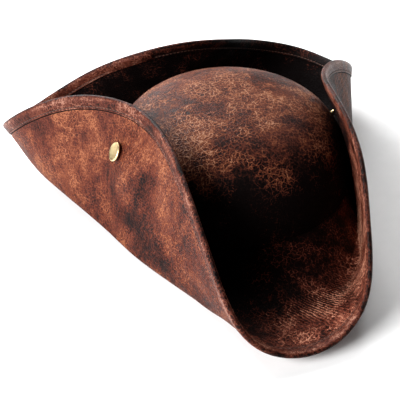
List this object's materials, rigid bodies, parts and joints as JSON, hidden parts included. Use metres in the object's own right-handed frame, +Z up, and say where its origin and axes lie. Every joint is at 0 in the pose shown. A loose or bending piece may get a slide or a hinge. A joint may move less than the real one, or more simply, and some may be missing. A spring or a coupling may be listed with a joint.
{
  "type": "tricorn hat",
  "caption": "Leather tricorn hat with a domed crown, a wide brim turned up in flaps, a bound rim and brass studs on the side flaps.",
  "frame": {"origin": "middle of the hat's plan, on the surface that it stands on", "axes": "+Z up; -Y towards the front corner; +X to the wearer's left"},
  "size_m": [0.3118, 0.3572, 0.1067],
  "materials": {
    "leather": "distressed brown leather with a satin sheen",
    "binding_leather": "darker brown leather, satin",
    "brass": "pale polished brass"
  },
  "bodies": {
    "root": {"crown": "leather", "brim": "leather", "edge_binding": "binding_leather", "stud_left": "brass", "stud_right": "brass"}
  },
  "joints": []
}
